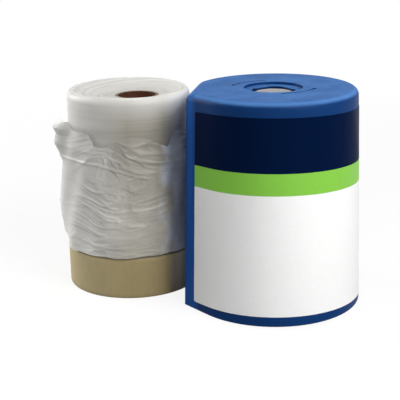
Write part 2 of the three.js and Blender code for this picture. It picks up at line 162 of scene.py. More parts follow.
# Rolls
CORE_WALL = 1.6 * MM
CORE_EASE = 0.25 * MM
CORE_END_DEPTH = 0.2 * MM
CORE_PLIES = 5
PLY_GROOVE_HALF = 0.03 * MM
PLY_GROOVE_DEPTH = 0.12 * MM
WINDING_BORE = 13.65 * MM
FILM_EDGE_ROUND = 3.2 * MM
FILM_EDGE_DROP = 5.2 * MM
FILM_DISH = 4.4 * MM
FILM_SWELL = 0.7 * MM
FILM_SWELL_HEIGHTS = (100 * MM, 107 * MM)
FILM_LINES = 0.05 * MM
FILM_RIPPLE = 0.06 * MM
FILM_UNREST = 0.12 * MM
FILM_HEAVE = 0.4 * MM
FILM_RINGS = 0.32 * MM
FILM_BORE_LIP = 0.8 * MM
FILM_LIP = ((0.25 * MM, 0.5 * MM), (0, 1.4 * MM))
TAPE_EDGE_ROUND = 0.5 * MM
TAPE_EDGE_INSET = 0.3 * MM
TAPE_RINGS = 0.05 * MM

# Where the refill's film changes colour: across it, in painted light and shade, and up it, with painted light
# near its top edge
REFILL_LEFT = (-112 * MM, -87 * MM)
REFILL_RIGHT = (-66 * MM, -54 * MM)
LOOSE_RIGHT = (-68 * MM, -60 * MM)
LOOSE_PATCHES = 5 * MM
LIT_EDGE = (110 * MM, 124 * MM)
CLEAR_EDGE = (92 * MM, 104 * MM)
FEWER_LAYERS = (55 * MM, 92 * MM)
CORE_SHADE = (16 * MM, 31 * MM)
RING_DRIFT = 1.6 * MM

# Leading ends in the case
LEAD_GAP = 0.45 * MM
LEAD_WRAP = radians(40)
LEAD_EXIT_INSET = 2.7 * MM
LEAD_RIPPLE = 0.35 * MM

# Loose outer turns on the refill, in millimetres and degrees
LOOSE_HEM = 26.7
LOOSE_TOP = 103.0
LOOSE_START = 184.0
LOOSE_SWEEP = 386.0
LOOSE_STAND_OFF = 1.6
LOOSE_LEAST = 0.35
LOOSE_BELLY = 2.0
LOOSE_HEM_SPREAD = 3.4
LOOSE_RAGGED_HEM = 0.5
LOOSE_RAGGED_TOP = 0.7
LOOSE_EDGE_SLOPE = 6
LOOSE_EDGE_SHARE = 0.15
LOOSE_COLUMNS = 640
LOOSE_ROWS = 150
SEAT_GAP = 0.3
TUCK_DEPTH = 0.8
FACING_CASE = 341.75
FACING_SHARE = 0.7

# Main folds of the loose film: how many round the roll, their drift with height, their start and depth
LOOSE_FOLDS = ((7, 5.0, 0.0, 0.6), (12, -8.0, 1.0, 0.4))

# Upper edge of the loose film: (angle round the roll, height over the hem)
LOOSE_TOP_EDGE = (
    (184, 75.5), (190, 77.5), (197, 82), (203, 78.5), (214, 78), (238, 77), (246, 70), (255, 69.5), (268, 74),
    (279, 75.5), (295, 73.5), (313, 67), (325, 77.5), (345, 73.5), (380, 71.5), (420, 76.5), (470, 70.5),
    (510, 74.5), (544, 75.5), (570, 71))

# Flap on the left of the loose film: (height over the hem, distance from the roll)
FLAP_ANGLE = 190.0
FLAP_SPREAD = 17.0
FLAP_FRONT_SPREAD = 13.0
FLAP_EDGE = ((0, 3.3), (3.5, 3.5), (7.5, 6.0), (17.5, 7.5), (27.5, 7.9), (40.5, 6.4),
             (53.5, 4.9), (59.5, 7.0), (65.5, 9.6), (71.5, 8.2), (75.5, 10.0), (82.5, 3.6))

# Creases of the loose film: swags round high points a third of a turn apart, and level lines near the hem.
# Each wave is (length, breaks, depth), and at the hem (length, depth).
SWAG_REPEATS = 3
SWAG_ANGLE = 270.0
SWAG_HEIGHT = 48.5
SWAG_HEART = 5.0
SWAG_FLATNESS = 0.62
SWAG_SWAY = 6
SWAG_WANDER = 5
SWAG_WAVES = ((5.2, 1.3, 0.35), (2.7, 2.2, 0.26), (1.4, 3.6, 0.13))
HEM_WAVES = ((2.4, 0.30), (1.2, 0.14))
HEM_BREAKS = 30
HEM_ZONE = (4, 16)
QUIET_ANGLE = FLAP_ANGLE + 14
QUIET_SPREAD = 34
QUIET_SHARE = 0.78
CREST_CELLS = 64
CREST_WIDTH = 2.2

# One long crease from the flap to the right: (angle round the roll, height over the hem)
LONG_CREASE = ((192, 57.3), (220, 58.5), (247, 58.7), (269, 54.7), (283, 51.5), (303, 49.0))
LONG_CREASE_START = (188, 196)
LONG_CREASE_END = (285, 303)
LONG_CREASE_RISE = 0.42
LONG_CREASE_WIDTH = 0.75

# Colours of film and tape across the refill, as (left, middle, right): painted light on the left, the film's
# clearer own colour with painted shade in the middle, and painted light near the case, bluish on the film as
# a painted reflection of the case
WOUND_PALE = ((0.69, 0.68, 0.645), (0.365, 0.345, 0.30), (0.83, 0.88, 0.97))
WOUND_DARK = ((0.64, 0.63, 0.60), (0.315, 0.295, 0.25), (0.75, 0.80, 0.90))
WOUND_LIT = ((0.72, 0.71, 0.68), (0.60, 0.59, 0.555), (0.78, 0.80, 0.83))
LOOSE_PALE = ((0.81, 0.80, 0.77), (0.51, 0.49, 0.435), (0.84, 0.90, 1.0))
LOOSE_DARK = ((0.74, 0.73, 0.70), (0.43, 0.41, 0.355), (0.70, 0.78, 1.0))
LOOSE_THIN = ((0.60, 0.59, 0.56), (0.365, 0.345, 0.30), (0.76, 0.84, 1.0))
CREPE_DARK = ((0.45, 0.375, 0.205), (0.295, 0.235, 0.118), (0.66, 0.64, 0.61))
CREPE_PALE = ((0.50, 0.415, 0.225), (0.325, 0.26, 0.13), (0.72, 0.70, 0.67))
FILM_SCATTER = (4 * MM, 4 * MM, 3.6 * MM)
LOOSE_SCATTER = (3 * MM, 3 * MM, 2.8 * MM)


# Meshes

def faces_of_grid(rows, columns, close_rows=False, close_columns=True):
    """Quads between successive rows of points."""
    across = columns if close_columns else columns - 1
    up = rows if close_rows else rows - 1
    row, column = np.meshgrid(np.arange(up), np.arange(across), indexing="ij")
    low, high = row * columns, (row + 1) % rows * columns
    following = (column + 1) % columns
    quads = np.stack([low + column, low + following, high + following, high + column], axis=-1)
    return quads.reshape(-1, 4).tolist()


def add_object(name, data):
    made = bpy.data.objects.new(name, data)
    bpy.context.scene.collection.objects.link(made)
    return made


def make_piece(name, points, faces, materials=()):
    """A new object with its materials, in the row frame."""
    mesh = bpy.data.meshes.new(name)
    mesh.from_pydata(np.asarray(points, float).reshape(-1, 3).tolist(), [], faces)
    mesh.validate()
    mesh.update()
    for material in materials:
        mesh.materials.append(material)
    return add_object(name, mesh)


def make_grid(name, rows, materials=(), capped=False, **closing):
    """A new object with quads between rows of points, and a face over its first and last row when capped."""
    count, columns = len(rows), len(rows[0])
    faces = faces_of_grid(count, columns, **closing)
    if capped:
        faces += [list(range(columns))[::-1], list(range((count - 1) * columns, count * columns))]
    return make_piece(name, rows, faces, materials)


def finish_piece(piece, body, replaced=(), sharp=35.0):
    """Smooths a piece, and says what it rides on and stands for."""
    piece.data.shade_smooth()
    piece.data.set_sharp_from_angle(angle=radians(sharp))
    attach(piece, body)
    if replaced:
        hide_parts(*replaced)
    return piece


def cut(piece, cutters):
    """Takes closed cutters out of a piece, and removes them."""
    for cutter in cutters:
        modifier = piece.modifiers.new("cut", "BOOLEAN")
        modifier.operation = "DIFFERENCE"
        modifier.solver = "EXACT"
        modifier.object = cutter
    bpy.context.view_layer.update()
    depsgraph = bpy.context.evaluated_depsgraph_get()
    result = bpy.data.meshes.new_from_object(piece.evaluated_get(depsgraph))
    piece.modifiers.clear()
    piece.data = result
    for cutter in cutters:
        bpy.data.objects.remove(cutter)


def prism(outline, bottom, top):
    """A closed prism over an outline of (x, y)."""
    rows = [[(x, y, height) for x, y in outline] for height in (bottom, top)]
    return make_grid("cutter", rows, capped=True)


def polar(radius, angle):
    """Points in plan at a distance from the axis and an angle in radians."""
    return np.stack([radius * np.cos(angle), radius * np.sin(angle)], axis=-1)


def arc(centre, radius, first, last, steps):
    return polar(radius, np.linspace(first, last, steps)) + centre


def side_of(path):
    """Unit vectors to the left of a path in plan."""
    along = np.gradient(path, axis=0)
    side = np.stack([-along[:, 1], along[:, 0]], axis=1)
    return side / np.linalg.norm(side, axis=1, keepdims=True)


def smooth_step(low, high, value):
    share = np.clip((value - low) / (high - low), 0, 1)
    return share * share * (3 - 2 * share)


class SmoothNoise:
    """Seeded value noise from -1 to 1 on a lattice that repeats along its first axis."""

    def __init__(self, seed, cells_u, cells_v):
        self.values = np.random.default_rng(seed).uniform(-1, 1, (cells_u, cells_v + 2))
        self.cells = (cells_u, cells_v)

    def __call__(self, u, v):
        cells_u, cells_v = self.cells
        u = np.asarray(u) * cells_u
        v = np.clip(v, 0, 1) * cells_v
        iu, iv = np.floor(u).astype(int), np.floor(v).astype(int)
        fu, fv = smooth_step(0, 1, u - iu), smooth_step(0, 1, v - iv)
        low, high = iu % cells_u, (iu + 1) % cells_u
        grid = self.values
        near = grid[low, iv] * (1 - fu) + grid[high, iv] * fu
        far = grid[low, iv + 1] * (1 - fu) + grid[high, iv + 1] * fu
        return near * (1 - fv) + far * fv


def axis_of(node):
    """A round node's centre in plan, its radius, its foot and its top."""
    low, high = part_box(node)
    return ((low.x + high.x) / 2, (low.y + high.y) / 2), (high.x - low.x) / 2, low.z, high.z


# Materials

class Nodes:
    """Short calls for the nodes of a material or a world."""

    def __init__(self, owner):
        owner.use_nodes = True
        self.tree = owner.node_tree

    def node(self, kind, inputs=None, **settings):
        made = self.tree.nodes.new("ShaderNode" + kind)
        for key, value in settings.items():
            setattr(made, key, value)
        for key, value in (inputs or {}).items():
            if isinstance(value, bpy.types.NodeSocket):
                self.tree.links.new(value, made.inputs[key])
            else:
                made.inputs[key].default_value = value
        return made

    def math(self, operation, *values):
        return self.node("Math", dict(enumerate(values)), operation=operation).outputs[0]

    def spread(self, value, low, high, out_low=0.0, out_high=1.0):
        """A value from low to high mapped to out_low to out_high."""
        inputs = {"Value": value, "From Min": low, "From Max": high, "To Min": out_low, "To Max": out_high}
        return self.node("MapRange", inputs).outputs[0]

    def seen(self):
        """One for camera, gloss and glass rays, and zero for the rest."""
        path = self.node("LightPath").outputs
        seen = self.math("MAXIMUM", path["Is Camera Ray"], path["Is Glossy Ray"])
        return self.math("MAXIMUM", seen, path["Is Transmission Ray"])


class Finish(Nodes):
    """A material with one Principled shader, and short calls for what finishes share."""

    def __init__(self, name, **values):
        self.material = bpy.data.materials.new(name)
        super().__init__(self.material)
        self.shader = self.tree.nodes["Principled BSDF"]
        for socket, value in values.items():
            self.shader.inputs[socket.replace("_", " ")].default_value = value
        self.place = self.node("TexCoord").outputs["Object"]

    def product(self, first, second):
        return self.math("MULTIPLY", first, second)

    def vector(self, operation, *values, output="Vector"):
        made = self.node("VectorMath", dict(enumerate(values)), operation=operation)
        return made.outputs[output]

    def part(self, index, vector=None):
        """One coordinate of a vector, or of the place in the row frame."""
        return self.node("SeparateXYZ", {0: vector or self.place}).outputs[index]

    def noise(self, scale, up=1, level=1, detail=3.0, distortion=0.0):
        """Noise in the row frame: features a metre, and how much closer they lie upwards and on the level."""
        spot = self.node("Mapping", {"Vector": self.place, "Scale": (level, level, up)}).outputs[0]
        inputs = {"Vector": spot, "Scale": scale, "Detail": detail, "Distortion": distortion}
        return self.node("TexNoise", inputs).outputs[0]

    def away_from(self, centre):
        """Distance from an upright axis, slightly drawn out of round."""
        level = self.vector("MULTIPLY", self.vector("SUBTRACT", self.place, (*centre, 0)), (1, 1, 0))
        drift = self.product(self.noise(26, detail=1), RING_DRIFT)
        return self.math("ADD", self.vector("LENGTH", level, output="Value"), drift)

    def rings(self, reach, scale):
        """Noise that changes only with a distance."""
        inputs = {"W": reach, "Scale": scale, "Detail": 3.0}
        return self.node("TexNoise", inputs, noise_dimensions="1D").outputs[0]

    def mix(self, share, *colours):
        """A mix of two colours, by the mix node's numbers for its colour sockets."""
        first, second = ((*c, 1.0) if isinstance(c, tuple) else c for c in colours)
        return self.node("Mix", {0: share, 6: first, 7: second}, data_type="RGBA").outputs[2]

    def blend(self, value, first, second, low=0.3, high=0.7, most=1.0):
        """From the first colour towards the second, as a value rises from low to high."""
        return self.mix(self.spread(value, low, high, 0, most), first, second)

    def painted_across_refill(self, beside_case, sets, near_case=REFILL_RIGHT, patchy=0.0):
        """Each set's colours across the refill, which paint light and shade on it; a roll in the case has the
        first of each set all over.
        """
        if not beside_case:
            return [colours[0] for colours in sets]
        across = self.part(0)
        to_middle = self.spread(across, *REFILL_LEFT)
        if patchy:
            patches = self.spread(self.noise(70, up=0.7), 0.3, 0.7, -patchy, patchy)
            across = self.math("ADD", across, patches)
        to_case = self.spread(across, *near_case)
        return [self.mix(to_case, self.mix(to_middle, left, middle), right) for left, middle, right in sets]

    def set(self, socket, value):
        self.tree.links.new(value, self.shader.inputs[socket])

    def done(self, colour, *bumps, rough=None):
        """The material with its colour, its chained bumps of (height, strength, distance in mm), and its
        roughness of (noise, smoothest, roughest)."""
        self.set("Base Color", colour)
        if rough:
            noise, *ends = rough
            self.set("Roughness", self.spread(noise, 0.3, 0.7, *ends))
        below = {}
        for height, strength, distance in bumps:
            inputs = {"Height": height, "Strength": strength, "Distance": distance * MM, **below}
            below = {"Normal": self.node("Bump", inputs).outputs[0]}
        self.set("Normal", below["Normal"])
        return self.material


def moulded_plastic(name, colour, light, dark, painted_top_tone, painted_rim_highlight, roughness, specular, painted_strip_light=None):
    """Satin moulded plastic: grain, faint flow marks, scuffs, painted light and shade on top faces in
    patches, a painted highlight on rounded top edges, and painted light on a strip beside the corner."""
    look = Finish(name, Roughness=roughness, IOR=1.49, Specular_IOR_Level=specular)
    base = look.blend(look.noise(22, detail=2), dark, colour)
    scuff = look.noise(160, up=0.25, detail=6, distortion=1.2)
    base = look.blend(scuff, base, light, 0.66, 0.78, 0.35)
    # Painted light and shade on top faces: they take their own colour, in random patches
    up = look.part(2, look.node("NewGeometry").outputs["Normal"])
    facing_up = look.spread(up, 0.35, 0.8)
    patches = look.spread(look.noise(60, detail=4), 0.25, 0.75, 0.55, 1.0)
    base = look.mix(look.product(facing_up, patches), base, painted_top_tone)
    # Painted highlight on the rounded top edges
    rim = look.product(look.spread(up, 0.5, 0.8), look.spread(up, 0.985, 0.93))
    base = look.mix(look.product(rim, patches), base, painted_rim_highlight)
    # Painted light on a strip beside the corner
    if painted_strip_light:
        beside = look.spread(look.part(0), *PAINTED_STRIP_ACROSS)
        strip = look.product(beside, look.spread(look.part(1), *PAINTED_STRIP_BACK))
        base = look.mix(strip, base, painted_strip_light)
    worn = look.spread(scuff, 0.3, 0.8, roughness - 0.05, roughness + 0.14)
    look.set("Roughness", look.math("ADD", worn, look.product(facing_up, 0.2)))
    flow = look.noise(90, up=0.3, detail=2)
    return look.done(base, (look.noise(3200, detail=2), 0.25, 0.06), (flow, 0.25, 0.4))


def printed_label(name, ink, worn, specular):
    """Satin film label: even ink with fine mottle, rub marks, and a slightly uneven laid surface."""
    look = Finish(name, Roughness=0.38, IOR=1.46, Specular_IOR_Level=specular)
    base = look.blend(look.noise(700), ink, tuple(0.975 * c for c in ink), 0.35, 0.65)
    rub = look.noise(120, up=3, detail=6, distortion=0.8)
    grain, laid = look.noise(1400, detail=2), look.noise(38, detail=2)
    gloss = look.noise(45, detail=4)
    base = look.blend(rub, base, worn, 0.69, 0.8, 0.5)
    return look.done(base, (grain, 0.08, 0.03), (laid, 0.2, 0.5), rough=(gloss, 0.32, 0.46))


def milky(name, roughness, specular, scatter_share, scatter):
    """The start of each film finish, which lets light in to a small depth."""
    return Finish(name, Roughness=roughness, IOR=1.5, Specular_IOR_Level=specular,
                  Subsurface_Weight=scatter_share, Subsurface_Scale=1.0, Subsurface_Radius=scatter)


def wound_film(name, beside_case):
    """Polyethylene film folded and wound: milky, with fine lines round the roll where its folds lie."""
    look = milky(name, 0.42, 0.25, 0.35, FILM_SCATTER)
    folds = look.noise(1, up=700, level=14, detail=4, distortion=0.15)
    wide = look.noise(1, up=110, level=22)
    # Painted light and shade across the refill
    pale, dark, lit = look.painted_across_refill(beside_case, (WOUND_PALE, WOUND_DARK, WOUND_LIT))
    base = look.blend(folds, dark, pale)
    # Painted light near the top edge, where light comes in through the film
    base = look.blend(look.part(2), base, lit, *LIT_EDGE)
    return look.done(base, (folds, 0.08, 0.3), (wide, 0.12, 0.6), rough=(wide, 0.4, 0.52))


def wound_film_end(name, core):
    """The roll's end: hundreds of film edges, as fine rings round its tube, and darker near it."""
    look = milky(name, 0.5, 0.2, 0.4, FILM_SCATTER)
    reach = look.away_from(axis_of(core)[0])
    rings = look.rings(reach, 420)
    base = look.blend(rings, (0.62, 0.61, 0.575), (0.75, 0.74, 0.71), 0.35, 0.65)
    base = look.blend(look.noise(90, distortion=0.6), base, (0.70, 0.69, 0.655), most=0.5)
    base = look.mix(look.spread(reach, *CORE_SHADE, 0.75, 0), base, (0.49, 0.48, 0.445))
    return look.done(base, (look.rings(reach, 1700), 0.2, 0.2), (rings, 0.3, 0.6))


def loose_film(name, beside_case):
    """A few loose layers of thin film: milky, half clear, glossy on its creases, with a painted highlight
    along its crinkles and painted light and shade across the refill.
    """
    look = milky(name, 0.42, 0.35, 0.2, LOOSE_SCATTER)
    cloud = look.noise(42, detail=4, distortion=0.5)
    crinkle = look.noise(230, up=3, detail=5, distortion=0.9)
    sets = LOOSE_PALE, LOOSE_DARK, LOOSE_THIN
    # Painted light and shade across the refill
    pale, dark, thin = look.painted_across_refill(beside_case, sets, LOOSE_RIGHT, LOOSE_PATCHES)
    height = look.part(2)
    base = look.blend(height, look.blend(cloud, dark, pale), thin, *FEWER_LAYERS)
    # Painted highlight along the crinkles
    base = look.blend(crinkle, base, (0.66, 0.65, 0.63), 0.62, 0.78, 0.3)
    look.set("Alpha", look.spread(height, *CLEAR_EDGE, 0.86, 0.62))
    return look.done(base, (crinkle, 0.22, 0.6), (cloud, 0.2, 1), rough=(crinkle, 0.36, 0.5))


def crepe_tape(name, beside_case):
    """Creped paper tape: fine crinkles across the tape, a little fibre, and a warm tan colour."""
    look = Finish(name, Roughness=0.72, IOR=1.45, Specular_IOR_Level=0.3)
    crepe = look.noise(1, up=130, level=1500)
    fibre = look.noise(420, up=0.4, detail=5, distortion=0.4)
    # Painted light and shade across the refill
    dark, pale = look.painted_across_refill(beside_case, (CREPE_DARK, CREPE_PALE))
    base = look.blend(crepe, look.blend(fibre, dark, pale), (0.27, 0.225, 0.13), 0.5, 0.8, 0.2)
    return look.done(base, (crepe, 0.12, 0.12), (fibre, 0.08, 0.15), rough=(fibre, 0.66, 0.8))


def tape_end(name):
    """The tape roll's end: closely wound paper edges."""
    look = Finish(name, Roughness=0.8, IOR=1.45, Specular_IOR_Level=0.25)
    cloud = look.noise(180, detail=5)
    base = look.blend(cloud, (0.43, 0.36, 0.22), (0.52, 0.45, 0.29))
    return look.done(base, (look.noise(2200, detail=2), 0.3, 0.1), (cloud, 0.2, 0.3))


def pressed_card(name, dark, light, ply):
    """Pressed card: paper fibre and darker plies."""
    look = Finish(name, Roughness=0.85, IOR=1.45, Specular_IOR_Level=0.2)
    fibre = look.noise(500, up=0.5, detail=6, distortion=0.5)
    plies = look.noise(1, up=700, level=60)
    base = look.blend(plies, look.blend(fibre, dark, light), ply, 0.5, 0.8, 0.5)
    return look.done(base, (fibre, 0.35, 0.2), (plies, 0.2, 0.2))


def brushed_steel(name):
    """Thin stamped strip with fine lines along it."""
    look = Finish(name, Metallic=1.0, Roughness=0.32)
    lines = look.noise(1, up=40, level=2600, detail=4)
    base = look.blend(lines, (0.50, 0.51, 0.53), (0.66, 0.67, 0.69))
    return look.done(base, (lines, 0.15, 0.03), rough=(lines, 0.26, 0.42))


# Top, rim and strip colours below are painted light and shade on the mouldings
blue = moulded_plastic(
    "blue_moulding", colour=(0.005, 0.036, 0.14), light=(0.02, 0.07, 0.20), dark=(0.004, 0.030, 0.12),
    painted_top_tone=(0.066, 0.183, 0.462), painted_rim_highlight=(0.078, 0.20, 0.475), roughness=0.40, specular=0.05,
    painted_strip_light=(0.009, 0.08, 0.33))
grey = moulded_plastic(
    "grey_moulding", colour=(0.36, 0.355, 0.36), light=(0.50, 0.50, 0.50), dark=(0.31, 0.305, 0.31),
    painted_top_tone=(0.34, 0.335, 0.345), painted_rim_highlight=(0.42, 0.415, 0.42), roughness=0.46, specular=0.3)
label_white = printed_label("label_white", (0.86, 0.86, 0.855), (0.79, 0.79, 0.78), 0.2)
label_green = printed_label("label_green", (0.215, 0.52, 0.06), (0.28, 0.55, 0.11), 0.14)
label_navy = printed_label("label_navy", (0.0008, 0.0065, 0.032), (0.006, 0.014, 0.045), 0.015)
loaded_films = [wound_film("film_folds", False), wound_film_end("film_edges", "loaded_core")]
refill_films = [wound_film("refill_folds", True), wound_film_end("refill_edges", "refill_core")]
film_lead = loose_film("film_lead", False)
film_loose = loose_film("film_loose", True)
loaded_crepe = crepe_tape("tape_crepe", False)
refill_crepe = crepe_tape("refill_crepe", True)
tape_edges = tape_end("tape_edges")
card = pressed_card("card_tube", (0.040, 0.014, 0.007), (0.075, 0.026, 0.013), (0.028, 0.010, 0.005))
card_end = pressed_card("card_end", (0.24, 0.195, 0.14), (0.32, 0.265, 0.20), (0.19, 0.15, 0.11))
steel = brushed_steel("blade_steel")


# Case

class DropOutline:
    """The drop shape's columns: the round, the cut wall behind the corner, the corner, and the front wall."""

    ROUND_STEPS, CUT_STEPS, WALL_STEPS, CORNER_STEPS = 380, 60, 12, 9
    CUT_START = radians(360 + 136)

    def __init__(self):
        turns = np.concatenate([np.linspace(FRONT_NORMAL, self.CUT_START, self.ROUND_STEPS)[:-1],
                                np.linspace(self.CUT_START, WALL_NORMAL + tau, self.CUT_STEPS)])
        curve = polar(self.reach(turns), turns)
        corner = polar(CORNER_REACH, CORNER_ANGLE)
        shares = np.linspace(0, 1, self.WALL_STEPS)[1:-1, None]
        wall = curve[-1] + (corner - curve[-1]) * shares
        front = corner + (curve[0] - corner) * shares
        fan = np.linspace(WALL_NORMAL, FRONT_NORMAL, self.CORNER_STEPS)
        facing = [np.full(len(wall), WALL_NORMAL), fan, np.full(len(front), FRONT_NORMAL)]
        self.inner = np.concatenate([curve, wall, np.repeat(corner[None], len(fan), axis=0), front])
        self.normals = np.concatenate([-side_of(curve), polar(1, np.concatenate(facing))])
        self.angles = np.arctan2(self.inner[:, 1], self.inner[:, 0])

    @staticmethod
    def reach(turns):
        """Distance from the axis at radius 1, with a soft edge where the cut wall meets the round."""
        wall = WALL_REACH / np.cos(np.clip(turns - WALL_NORMAL - tau, -1.2, 1.2))
        near = np.maximum(WALL_EDGE_BLEND - np.abs(wall - 1), 0) / WALL_EDGE_BLEND
        return np.minimum(wall, 1) - near ** 2 * WALL_EDGE_BLEND / 4

    def row(self, radius, height, share=1.0, corner_round=CORNER_ROUND):
        """One row: the drop outline at share 1, and a circle of that radius at share 0."""
        plan = polar(radius, self.angles)
        if share > 0:
            drop = (radius - corner_round) * self.inner + corner_round * self.normals
            plan = plan * (1 - share) + drop * share
        return np.column_stack([plan, np.full(len(plan), height)])

    def circles(self, steps):
        """Round rows from (radius, height)."""
        return [self.row(radius, height, 0) for radius, height in steps]


outline = DropOutline()
CASE_FOOT, CASE_TOP = (corner.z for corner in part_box("case_shell"))
TOP_RADIUS = FOOT_RADIUS - CASE_DRAFT
DISH_BOTTOM = CASE_TOP - RECESS_DEPTH - RECESS_FLOOR
CORNER_ALONG_WALL = TOP_RADIUS * CORNER_REACH * sin(CORNER_HALF_ANGLE + WALL_TURN)
SLOT_NEAR_CORNER = CORNER_ALONG_WALL - SLOT_CORNER_LAND
SLOT_FAR = SLOT_NEAR_CORNER - SLOT_WIDTH
TO_WALL = Matrix.Rotation(-WALL_TURN, 4, "Z")
UPRIGHT = Matrix(((0, 0, 1, 0), (1, 0, 0, 0), (0, 1, 0, 0), (0, 0, 0, 1)))


def case_radius(height):
    return FOOT_RADIUS - CASE_DRAFT * height / CASE_TOP


def rounded(wall, flat, size, steps, side=1, rise=1):
    """(radius, height) steps of a quarter round from the wall to the flat, inward or downward at -1."""
    turns = np.linspace(0, pi / 2, steps)
    return [(wall - side * size * (1 - cos(t)), flat - rise * size * (1 - sin(t))) for t in turns]


def hole_radii():
    """The hole's edge: a circle with notches, their ends slightly eased."""
    spacing = 360 / NOTCH_COUNT
    from_middle = np.abs((np.degrees(outline.angles) - NOTCH_TURN + spacing / 2) % spacing - spacing / 2)
    past_notch = smooth_step(NOTCH_ANGLE - NOTCH_EASE, NOTCH_ANGLE + NOTCH_EASE, from_middle)
    return HOLE_RADIUS + NOTCH_DEPTH * (1 - past_notch)


def case_rows():
    """Rows from the foot up the outside, over the top, through the hole and back down the inside."""
    heights = np.linspace(CASE_FOOT + 2 * LIP_ROUND, CASE_TOP - TOP_ROUND - 1 * MM, 24)
    outside = [*rounded(0, CASE_FOOT, LIP_ROUND, 4, rise=-1)[::-1], *((0, height) for height in heights),
               *rounded(0, CASE_TOP, TOP_ROUND, 9)]
    rows = [outline.row(case_radius(height) + offset, height) for offset, height in outside]
    flat_start = TOP_RADIUS - TOP_ROUND
    for share in np.linspace(0, 1, 9)[1:]:
        radius = flat_start + (RECESS_FLAT - flat_start) * share
        rows.append(outline.row(radius, CASE_TOP, 1 - smooth_step(0, 1, share)))
    floor, ceiling = CASE_TOP - RECESS_DEPTH, CASE_TOP - TOP_PLATE
    hole, dish_outer = hole_radii(), RECESS_RADIUS + RECESS_WALL
    rows += outline.circles([
        (RECESS_RADIUS + RECESS_LAND, CASE_TOP), (RECESS_RADIUS + 2 * EDGE_ROUND, CASE_TOP),
        *rounded(RECESS_RADIUS, CASE_TOP, EDGE_ROUND, 5, side=-1)[::-1],
        *rounded(RECESS_RADIUS, floor, EDGE_ROUND, 5, rise=-1), (hole + 3 * EDGE_ROUND, floor),
        *rounded(hole, floor, EDGE_ROUND / 2, 4, side=-1)[::-1], (hole, DISH_BOTTOM),
        (dish_outer, DISH_BOTTOM), (dish_outer, ceiling)])
    inner_top = case_radius(ceiling) - CASE_WALL
    for share in np.linspace(0, 1, 7)[1:]:
        radius = dish_outer + (inner_top - dish_outer) * share
        rows.append(outline.row(radius, ceiling, smooth_step(0, 1, share), INNER_ROUND))
    for height in np.linspace(ceiling, CASE_FOOT, 14)[1:]:
        rows.append(outline.row(case_radius(height) - CASE_WALL, height, corner_round=INNER_ROUND))
    return rows


def tongue_cutters():
    """Two curved slots, each with a small round hole at its end."""
    cutters = []
    low, high = DISH_BOTTOM, CASE_TOP + CUTTER_MARGIN
    shares = np.linspace(0, 1, 33)
    for turn in (0.0, 180.0):
        angles = np.radians(TONGUE_ANGLE + turn + TONGUE_SWEEP * shares)
        middle = polar(TONGUE_START + TONGUE_DRIFT * shares ** 2, angles)
        across = side_of(middle) * TONGUE_WIDTH / 2
        cutters.append(prism([*(middle - across), *(middle + across)[::-1]], low, high))
        cutters.append(prism(arc(middle[-1], TONGUE_END_HOLE, 0, tau, 25)[:-1], low, high))
    return cutters


def film_slot_cutter():
    """A tall slot with rounded upper corners, through the wall behind the corner."""
    top, bottom = CASE_TOP - SLOT_TOP_LAND, CASE_FOOT - CUTTER_MARGIN
    low, high = -SLOT_NEAR_CORNER, -SLOT_FAR
    profile = [(low, bottom), (high, bottom),
               *arc((high - SLOT_ROUND, top - SLOT_ROUND), SLOT_ROUND, 0, pi / 2, 7),
               *arc((low + SLOT_ROUND, top - SLOT_ROUND), SLOT_ROUND, pi / 2, pi, 7)]
    inside = -WALL_REACH * TOP_RADIUS + CASE_WALL + SLOT_CUT_DEPTH
    cutter = prism(profile, -FOOT_RADIUS - CUTTER_REACH, inside)
    cutter.data.transform(TO_WALL @ UPRIGHT)
    return cutter


def case_shell():
    shell = make_grid("case_moulding", case_rows(), [blue], close_rows=True)
    cut(shell, [*tongue_cutters(), film_slot_cutter()])
    finish_piece(shell, "case", ["case_shell"], sharp=32)


